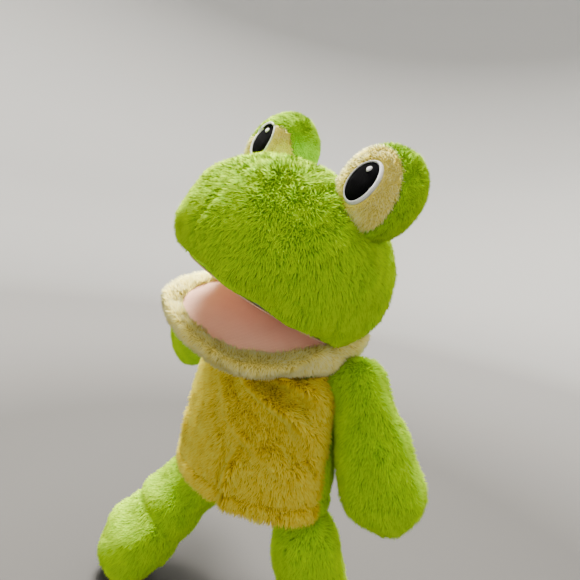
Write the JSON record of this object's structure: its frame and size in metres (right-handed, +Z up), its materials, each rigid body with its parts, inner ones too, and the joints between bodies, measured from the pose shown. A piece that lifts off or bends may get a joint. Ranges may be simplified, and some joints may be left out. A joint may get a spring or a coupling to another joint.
{
  "type": "hand puppet",
  "caption": "Plush frog glove puppet with a sleeve for the forearm, a stuffed head and jaw worked by the fingers and thumb, and dangling stuffed arms and legs.",
  "frame": {"origin": "centre of the hand opening, in the plane of the sleeve's hem", "axes": "+Z up the body from the hand opening to the head, -Y the way the puppet faces, +X towards the puppet's own left"},
  "size_m": [0.313, 0.1693, 0.4392],
  "materials": {
    "green_plush": "short, clumped plush pile",
    "yellow_plush": "short, clumped plush pile",
    "lip_plush": "short, clumped plush pile, paler than the belly",
    "mouth_jersey": "smooth brushed jersey",
    "lining_cloth": "plain woven lining",
    "felt_board": "stiff needled felt",
    "fibre_filling": "loose polyester fibre",
    "black_thread": "satin stitch embroidery",
    "white_thread": "satin stitch embroidery"
  },
  "bodies": {
    "body": {"belly_panel": "yellow_plush", "back_panel": "green_plush", "hem_front": "yellow_plush", "hem_back": "green_plush", "body_lining": "lining_cloth"},
    "neck": {"neck_front": "yellow_plush", "neck_back": "green_plush"},
    "neck_inner": {"neck_lining": "lining_cloth"},
    "head": {"face_left": "green_plush", "face_right": "green_plush", "head_back": "green_plush", "head_filling": "fibre_filling", "palate_lining": "mouth_jersey", "palate_board": "felt_board", "finger_pocket": "lining_cloth", "eye_left_front": "yellow_plush", "eye_left_back": "green_plush", "eye_left_filling": "fibre_filling", "eye_left_ring": "white_thread", "eye_left_pupil": "black_thread", "eye_left_glint": "white_thread", "eye_right_front": "yellow_plush", "eye_right_back": "green_plush", "eye_right_filling": "fibre_filling", "eye_right_ring": "white_thread", "eye_right_pupil": "black_thread", "eye_right_glint": "white_thread"},
    "jaw": {"chin_plush": "lip_plush", "jaw_lining": "mouth_jersey", "jaw_board": "felt_board", "thumb_pocket": "lining_cloth"},
    "arm_left": {"arm_left_front": "green_plush", "arm_left_back": "green_plush", "arm_left_filling": "fibre_filling"},
    "leg_left": {"leg_left_front": "green_plush", "leg_left_back": "green_plush", "leg_left_filling": "fibre_filling"},
    "arm_right": {"arm_right_front": "green_plush", "arm_right_back": "green_plush", "arm_right_filling": "fibre_filling"},
    "leg_right": {"leg_right_front": "green_plush", "leg_right_back": "green_plush", "leg_right_filling": "fibre_filling"}
  },
  "joints": [
    {"name": "head_turn", "type": "hinge", "parent": "body", "child": "neck", "pos_m": [0.004, 0.008, 0.126], "axis": [0, 0, 1], "range_deg": [-12, 20]},
    {"name": "head_tilt", "type": "hinge", "parent": "neck", "child": "neck_inner", "pos_m": [0.004, 0.008, 0.126], "axis": [0.1045, 0.9945, 0], "range_deg": [-30, 2]},
    {"name": "head_nod", "type": "hinge", "parent": "neck_inner", "child": "head", "pos_m": [0.004, 0.008, 0.126], "axis": [0.9511, -0.1, -0.2924], "range_deg": [-10, 6]},
    {"name": "mouth_open", "type": "hinge", "parent": "head", "child": "jaw", "pos_m": [0.00918, -0.01129, 0.14945], "axis": [0.9511, -0.1, -0.2924], "range_deg": [-27, 4]},
    {"name": "arm_left_raise", "type": "hinge", "parent": "body", "child": "arm_left", "pos_m": [0.08097, 0.00594, 0.11], "axis": [0, -1, 0], "range_deg": [0, 45]},
    {"name": "arm_right_raise", "type": "hinge", "parent": "body", "child": "arm_right", "pos_m": [-0.07503, 0.00594, 0.11], "axis": [0, 1, 0], "range_deg": [-38, 5]},
    {"name": "leg_left_swing", "type": "hinge", "parent": "body", "child": "leg_left", "pos_m": [0.062, 0.006, -0.0276], "axis": [-1, 0, 0], "range_deg": [-30, 50]},
    {"name": "leg_right_swing", "type": "hinge", "parent": "body", "child": "leg_right", "pos_m": [-0.062, 0.006, -0.0276], "axis": [-1, 0, 0], "range_deg": [-60, 20]}
  ]
}
